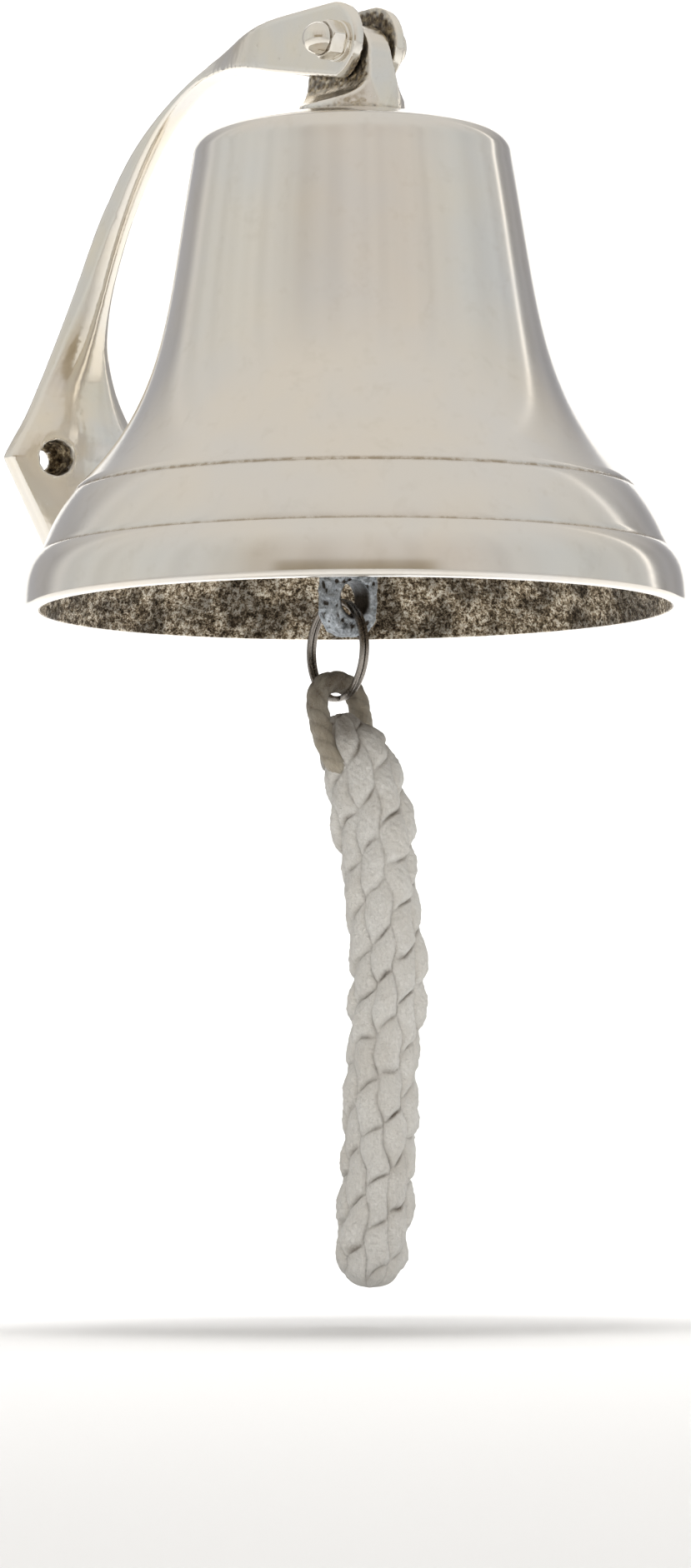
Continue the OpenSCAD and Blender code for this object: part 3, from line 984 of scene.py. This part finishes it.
def cast_nickel(name, warm=0.0, rough0=0.17):
    """Plated casting: worked faces bright, rough skin dark with brown, hollows painted dark brown as
    shade.
    """
    k = Mat(name)
    edge = k.attr("edge")
    cloud = k.noise(0.05, 3, 0.55)
    grit = k.noise(0.8, 4, 0.65)
    worked = (0.83, 0.77 - 0.02 * warm, 0.68 - 0.08 * warm)
    color = k.mix(k.ramp(cloud, (0.35, 0.0), (0.65, 1.0)), worked, NICKEL_COOL)
    # painted shade: hollows darkened to brown, in patches from the grit
    hollow = k.ramp(edge, (0.30, 1.0), (0.47, 0.0))
    darkening = k.math("MULTIPLY", hollow, k.ramp(grit, (0.3, 0.45), (0.65, 1.0)), clamp=True)
    color = k.mix(darkening, color, (0.16, 0.12, 0.075))
    flecks = k.math("MULTIPLY", k.ramp(grit, (0.60, 0.0), (0.78, 1.0)), 0.2)
    color = k.mix(flecks, color, (0.5, 0.42, 0.30))
    rim = k.ramp(edge, (0.55, 0.0), (0.72, 1.0))
    cast = k.attr("cast")
    skin = k.ramp(grit, (0.36, (0.030, 0.021, 0.013)), (0.50, (0.16, 0.115, 0.065)),
                  (0.62, (0.52, 0.43, 0.28)))
    color = k.mix(cast, color, skin)
    color = k.mix(k.math("MULTIPLY", rim, 0.5), color, (0.90, 0.86, 0.78))
    rough = k.math("ADD", k.ramp(cloud, (0.3, rough0 - 0.04), (0.7, rough0 + 0.07)),
                   k.math("MULTIPLY", k.math("MAXIMUM", darkening, cast), 0.3))
    rough = k.math("SUBTRACT", rough, k.math("MULTIPLY", rim, 0.06), clamp=True)
    nrm = k.bump(grit, 0.22, 0.00008)
    nrm = k.bump(k.noise(0.07, 2, 0.5), 0.3, 0.0003, nrm)
    pits = k.ramp(k.cells(0.33), (0.0, 0.0), (0.07, 1.0))
    nrm = k.bump(pits, 0.4, 0.00012, nrm)
    return k.done(color, rough, nrm, 1.0)


def steel(name, tone, rough0, speckle=0.3):
    k = Mat(name)
    cloud = k.noise(0.25, 3, 0.6)
    fine = k.noise(2.2, 4, 0.65)
    dark = tuple(0.45 * t for t in tone)
    color = k.mix(k.ramp(cloud, (0.35, 0.0), (0.7, 1.0)), tone, tuple(0.8 * t for t in tone))
    color = k.mix(k.math("MULTIPLY", k.ramp(fine, (0.5, 0.0), (0.75, 1.0)), speckle), color, dark)
    rough = k.ramp(fine, (0.3, rough0 - 0.05), (0.7, rough0 + 0.1))
    return k.done(color, rough, k.bump(fine, 0.2, 0.0001), 1.0)


def clapper_casting():
    k = Mat("clapper_rough_casting")
    edge = k.attr("edge")
    a = k.noise(0.55, 4, 0.65)
    b = k.noise(2.0, 4, 0.7)
    color = k.ramp(k.math("ADD", k.math("MULTIPLY", a, 0.45), k.math("MULTIPLY", b, 0.55)),
                   (0.34, (0.10, 0.11, 0.12)), (0.46, (0.34, 0.37, 0.40)),
                   (0.56, (0.55, 0.59, 0.63)), (0.68, (0.82, 0.86, 0.90)))
    # painted shade: near black in the hollows and inside the tail's hole
    hollow = k.ramp(edge, (0.28, 1.0), (0.46, 0.0))
    color = k.mix(k.math("MAXIMUM", hollow, k.attr("cast")), color, (0.045, 0.035, 0.025))
    rough = k.ramp(b, (0.3, 0.38), (0.7, 0.62))
    nrm = k.bump(a, 0.6, 0.0005)
    nrm = k.bump(b, 0.6, 0.0003, nrm)
    return k.done(color, rough, nrm, 0.7)


def cotton(name, clean, dull, soil_and_shade, depth):
    k = Mat(name)
    vec = k.node("ShaderNodeCombineXYZ")
    k.put(k.math("MULTIPLY", k.attr("around"), 1000.0), vec.inputs[0])
    k.put(k.math("MULTIPLY", k.attr("along"), 1000.0), vec.inputs[1])
    fibre = k.noise(1.0, 4, 0.7, k.stretch(vec.outputs[0], 2.4, 1.3, 1.0), 1.0)
    lint = k.noise(1.0, 4, 0.7, k.stretch(vec.outputs[0], 1.1, 2.2, 1.0), 1.6)
    broad = k.noise(0.12, 3, 0.6)
    soil_and_crease_shade = k.attr("soil_and_crease_shade")
    color = k.mix(k.ramp(broad, (0.35, 0.0), (0.68, 1.0)), clean, dull)
    color = k.mix(k.ramp(fibre, (0.30, 0.45), (0.52, 0.0)), color, tuple(0.80 * c for c in dull))
    # dark brown from the cords' soil attribute: soil, and painted shade in the creases
    soil_and_shade_mask = k.math("MULTIPLY", soil_and_crease_shade, k.ramp(lint, (0.3, 0.6), (0.6, 1.0)), clamp=True)
    color = k.mix(soil_and_shade_mask, color, soil_and_shade)
    nrm = k.bump(fibre, 0.9, depth)
    nrm = k.bump(lint, 0.8, depth, nrm)
    return k.done(color, 0.92, nrm, 0.0, Sheen_Weight=0.35, Sheen_Roughness=0.5, Specular_IOR_Level=0.2)


bell.data.materials[0] = bell_outside()
bell.data.materials[1] = bell_inside()
casting_nickel = cast_nickel("bracket_nickel_casting", 0.6)
plated = cast_nickel("plated_fastener_nickel", 0.9, 0.11)
plain = steel("plain_steel", (0.60, 0.60, 0.61), 0.36)
ring_steel = steel("ring_dark_steel", (0.33, 0.30, 0.27), 0.26, 0.5)
# clean tone, dull tone, and the dark brown used for soil and painted crease shade
CLEAN = ((0.94, 0.925, 0.88), (0.86, 0.83, 0.77), (0.16, 0.11, 0.065))
WORN = ((0.70, 0.65, 0.54), (0.55, 0.48, 0.37), (0.13, 0.095, 0.06))
for o, m in ((bracket, casting_nickel), (lug, casting_nickel), (nut, plated), (pin, plated),
             (pin_washer, plated), (stud, plain), (washer, plain), (inner_nut, plain), (link, plain),
             (striker, clapper_casting()), (ring, ring_steel),
             (braid, cotton("cotton_plait", *CLEAN, 0.0005)),
             (loop, cotton("old_cotton_cord", *WORN, 0.0005))):
    if m.name not in [x.name for x in o.data.materials if x]:
        o.data.materials.clear()
        o.data.materials.append(m)


# ---------------------------------------------------------------- studio

FLOOR_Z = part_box("lanyard_braid")[0][2] - 0.0085


def build_floor():
    """A pale floor that curves up into a backdrop far behind the object."""
    az = AZIMUTH
    ahead = Vector((-math.sin(az), math.cos(az), 0))
    side = Vector((math.cos(az), math.sin(az), 0))
    line = [(-4.0, 0), (-1, 0), (0.5, 0), (1.2, 0)]
    line += [(1.2 + 1.2 * math.sin(RAD(a)), 1.2 - 1.2 * math.cos(RAD(a))) for a in range(6, 91, 6)]
    line += [(2.4, 4.0)]
    verts, faces = [], []
    for t, h in line:
        wide = 1.0 if h == 0 else 0.2
        for s in (-4.0 * wide, -1.5 * wide, 0.0, 1.5 * wide, 4.0 * wide):
            verts.append(Vector((0, AXIS_Y, FLOOR_Z + h)) + t * ahead + s * side)
    for i in range(len(line) - 1):
        for j in range(4):
            faces.append((i * 5 + j, i * 5 + j + 1, (i + 1) * 5 + j + 1, (i + 1) * 5 + j))
    o = make_object("studio_floor", verts, faces)
    k = Mat("studio_paper")
    paper = k.mix(k.noise(0.004, 2), (0.76, 0.76, 0.76), (0.74, 0.74, 0.74))
    o.data.materials.append(k.done(paper, 0.8))


build_floor()


def build_world():
    """Even studio light all round, in soft vertical panels."""
    w = bpy.data.worlds.new("studio")
    bpy.context.scene.world = w
    w.use_nodes = True
    nt = w.node_tree

    def node(kind, **props):
        n = nt.nodes.new(kind)
        for key, value in props.items():
            setattr(n, key, value)
        return n

    def put(value, socket):
        if isinstance(value, bpy.types.NodeSocket):
            nt.links.new(value, socket)
        else:
            socket.default_value = value

    def math_node(op, *values):
        n = node("ShaderNodeMath", operation=op)
        for value, socket in zip(values, n.inputs):
            put(value, socket)
        return n.outputs[0]

    def dot_with(direction):
        n = node("ShaderNodeVectorMath", operation="DOT_PRODUCT")
        put(level.outputs[0], n.inputs[0])
        n.inputs[1].default_value = direction
        return n.outputs["Value"]

    def half_up(value):
        """Turns -1..1 into 0..1."""
        return math_node("MULTIPLY_ADD", value, 0.5, 0.5)

    def panels(value, *stops):
        n = node("ShaderNodeValToRGB")
        put(value, n.inputs[0])
        e = n.color_ramp.elements
        while len(e) < len(stops):
            e.new(0.5)
        for el, (p, c) in zip(e, stops):
            el.position = p
            el.color = c + (1.0,)
        return n.outputs[0]

    def curve(value, *points):
        return panels(value, *[(p, (c, c, c)) for p, c in points])

    def blend(fac, a, b, how="MIX"):
        n = node("ShaderNodeMix", data_type="RGBA", blend_type=how)
        put(fac, n.inputs[0])
        put(a, n.inputs[6])
        put(b + (1.0,) if isinstance(b, tuple) else b, n.inputs[7])
        return n.outputs[2]

    sep = node("ShaderNodeSeparateXYZ")
    put(node("ShaderNodeTexCoord").outputs["Generated"], sep.inputs[0])
    flat = node("ShaderNodeCombineXYZ")
    put(sep.outputs[0], flat.inputs[0])
    put(sep.outputs[1], flat.inputs[1])
    level = node("ShaderNodeVectorMath", operation="NORMALIZE")
    put(flat.outputs[0], level.inputs[0])
    az = AZIMUTH
    # 1 towards the camera, 0 away from it
    front = half_up(dot_with((math.sin(az), -math.cos(az), 0)))
    middle = [(0.60, (0.73, 0.75, 0.75)), (0.76, (0.79, 0.78, 0.75)), (0.80, (0.68, 0.66, 0.63)),
              (0.90, (0.75, 0.71, 0.67)), (1.0, (0.71, 0.67, 0.63))]
    right = panels(front, (0.0, (0.60, 0.60, 0.62)), (0.05, (0.40, 0.40, 0.42)),
                   (0.198, (0.42, 0.42, 0.43)), (0.206, (1.9, 1.87, 1.82)), (0.220, (1.9, 1.87, 1.82)),
                   (0.230, (0.64, 0.65, 0.66)), *middle)
    left = panels(front, (0.0, (0.62, 0.62, 0.64)), (0.04, (0.46, 0.46, 0.48)),
                  (0.17, (0.50, 0.50, 0.51)), (0.21, (0.84, 0.84, 0.84)), (0.26, (0.70, 0.71, 0.71)),
                  (0.60, (0.74, 0.75, 0.74)), (0.86, (0.73, 0.72, 0.69)), (0.91, (0.62, 0.59, 0.55)),
                  (1.0, (0.71, 0.67, 0.63)))
    # upright bars of light and shade in the panels
    bars = node("ShaderNodeTexNoise")
    put(level.outputs[0], bars.inputs["Vector"])
    bars.inputs["Scale"].default_value = 7.0
    bars.inputs["Detail"].default_value = 3.0
    to_right = curve(dot_with((math.cos(az), math.sin(az), 0)), (0.0, 0.0), (0.02, 1.0))
    color = blend(to_right, left, right)
    color = blend(curve(bars.outputs["Fac"], (0.40, 0.0), (0.60, 0.30)), color, (0.62, 0.60, 0.58),
                  "MULTIPLY")
    # overhead the panels run out into one plain ceiling
    color = blend(curve(sep.outputs[2], (0.35, 0.0), (0.80, 1.0)), color, (0.76, 0.74, 0.71))
    # a dark low patch in front
    low = curve(half_up(sep.outputs[2]), (0.50, 1.0), (0.60, 0.9), (0.62, 0.0))
    ahead = curve(front, (0.935, 0.0), (0.95, 1.0))
    color = blend(math_node("MULTIPLY", low, ahead), color, (0.55, 0.50, 0.40), "MULTIPLY")
    # what is seen directly is plain and pale
    seen = node("ShaderNodeLightPath")
    bg = nt.nodes["Background"]
    put(blend(seen.outputs["Is Camera Ray"], color, (1.0, 1.0, 1.0)), bg.inputs[0])
    bg.inputs[1].default_value = 1.0


build_world()
bpy.context.scene.view_settings.view_transform = "Standard"


def area(name, size, power, where, aim, color=(1, 1, 1)):
    d = bpy.data.lights.new(name, "AREA")
    d.size = size
    d.energy = power
    d.color = color
    o = bpy.data.objects.new(name, d)
    bpy.context.scene.collection.objects.link(o)
    o.location = where
    o.rotation_euler = (Vector(aim) - Vector(where)).to_track_quat("-Z", "Y").to_euler()
    return o


for lamp in (area("top_light", 0.42, 9, (-0.02, AXIS_Y - 0.02, 1.15), (0, AXIS_Y, 0), (1.0, 0.99, 0.97)),
             area("front_fill", 1.4, 10, (-1.3, -1.9, 0.5), (0, AXIS_Y, -0.1), (1.0, 0.99, 0.97)),
             area("right_fill", 1.0, 1.5, (1.4, -0.9, 0.4), (0, AXIS_Y, -0.1), (1.0, 0.99, 0.97)),
             area("backdrop_light", 1.6, 45, (0.6, 0.5, 1.7), (1.6, 1.8, 0.3))):
    lamp.visible_glossy = False
